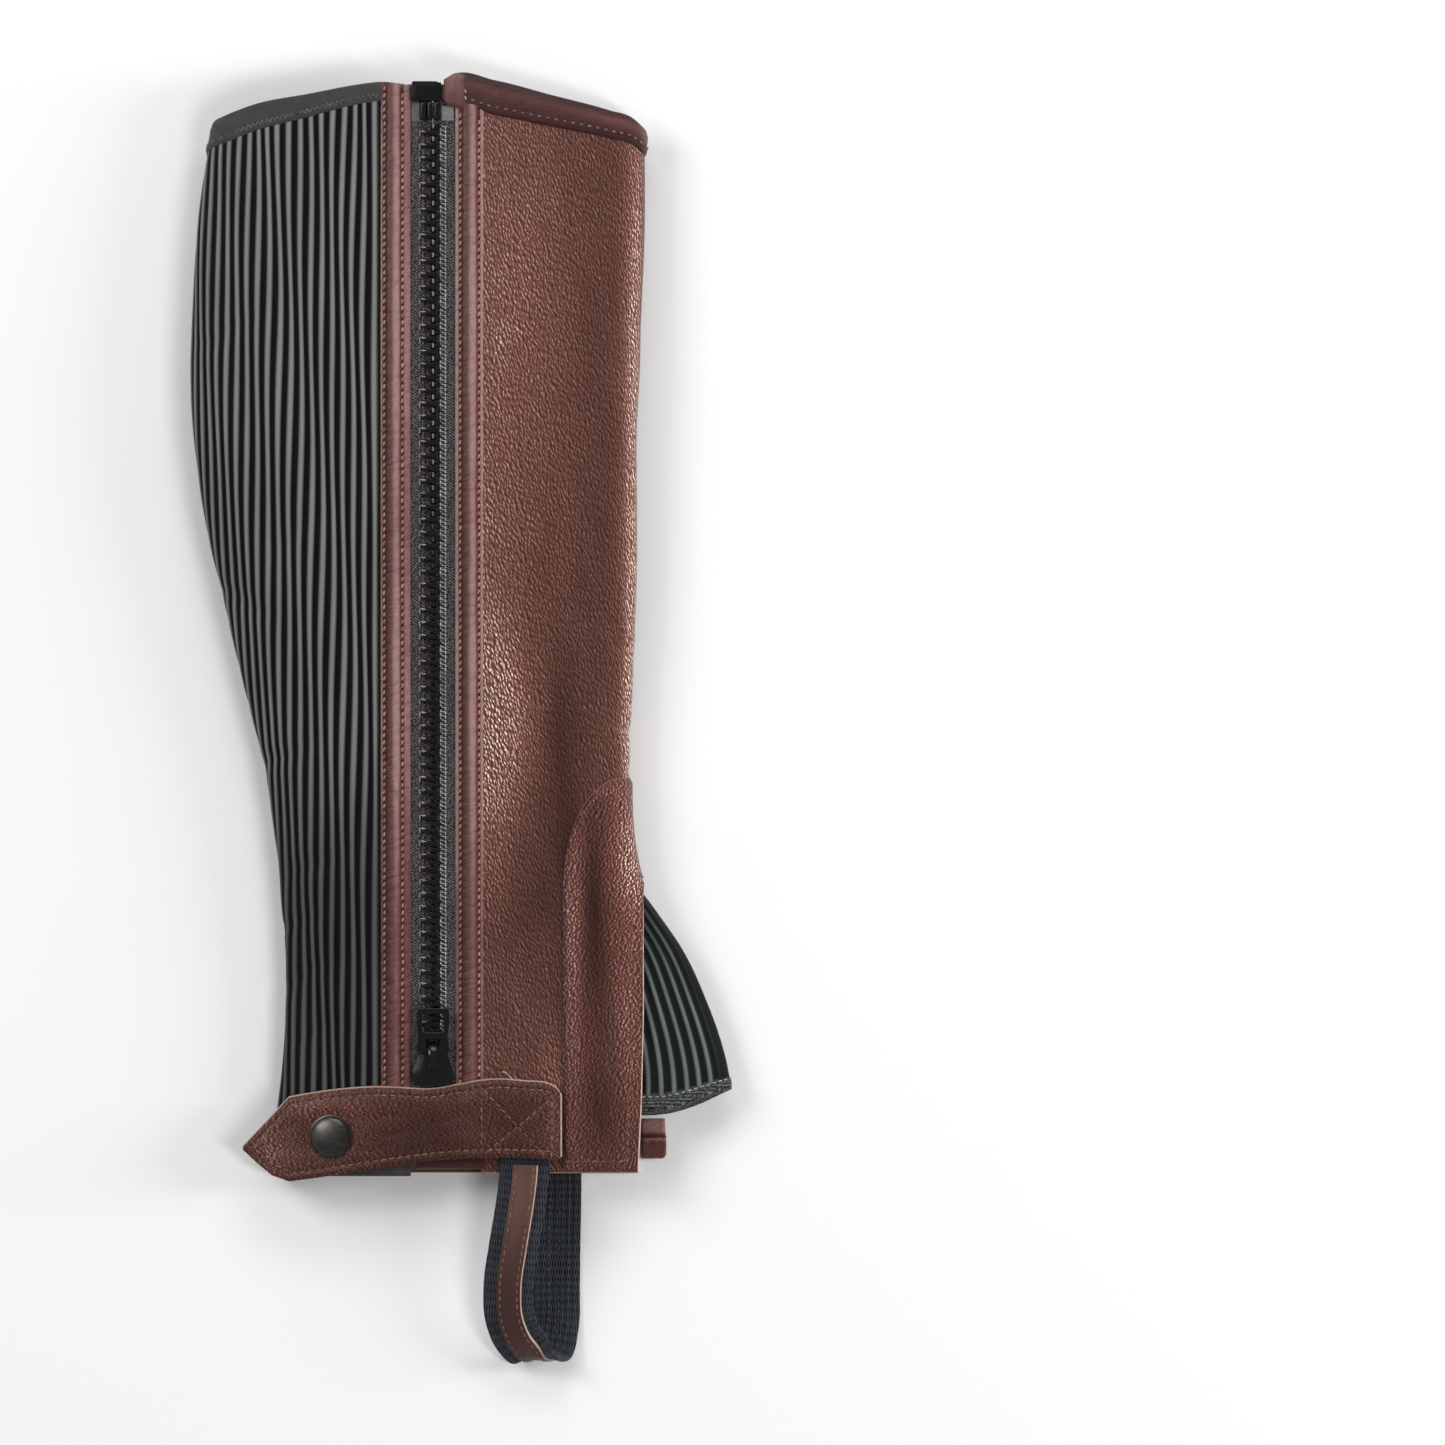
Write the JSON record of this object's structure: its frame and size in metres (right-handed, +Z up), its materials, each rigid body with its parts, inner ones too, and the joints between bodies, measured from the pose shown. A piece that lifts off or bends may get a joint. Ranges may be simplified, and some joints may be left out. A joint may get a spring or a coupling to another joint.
{
  "type": "half chap",
  "caption": "Zipped half chap for the lower leg: leather over the shin, ribbed elastic over the calf, instep gusset, snap strap and elastic foot loop, lying flat.",
  "frame": {"origin": "middle of the chap's footprint, on the surface that it lies on", "axes": "+Y up the leg from the foot loop to the top rim, +X from the calf to the shin, +Z up through the outer side with the zip"},
  "size_m": [0.2086, 0.4972, 0.0385],
  "materials": {
    "pebbled_leather": "brown pebbled leather, satin",
    "smooth_leather": "smooth reddish brown leather, satin",
    "binding_leather": "smooth dark brown leather, satin",
    "elastic": "black ribbed elastic with grey crests",
    "black_braid": "black woven binding",
    "zip_tape": "charcoal woven tape",
    "moulded_black": "glossy black",
    "gunmetal": "satin gunmetal"
  },
  "bodies": {
    "chap": {"elastic_panel": "elastic", "foot_loop": "elastic", "gusset": "elastic", "gusset_binding": "black_braid", "hem_binding_elastic": "black_braid", "hem_piece_leather": "smooth_leather", "inner_hem_tab": "smooth_leather", "leather_panel": "pebbled_leather", "loop_strip": "pebbled_leather", "lower_patch": "pebbled_leather", "snap_cap": "gunmetal", "strap": "pebbled_leather", "top_binding_elastic": "black_braid", "top_binding_leather": "binding_leather", "zip_band_calf": "smooth_leather", "zip_band_shin": "smooth_leather", "zip_box": "moulded_black", "zip_chain": "moulded_black", "zip_sleeves": "moulded_black", "zip_slider": "moulded_black", "zip_tape_calf": "zip_tape", "zip_tape_shin": "zip_tape"},
    "pull_tab": {"pull_tab": "moulded_black"}
  },
  "joints": [
    {"name": "pull_tab_hinge", "type": "hinge", "parent": "chap", "child": "pull_tab", "pos_m": [-0.01095, -0.12754, 0.02944], "axis": [1, 0, 0], "range_deg": [0, 115]}
  ]
}
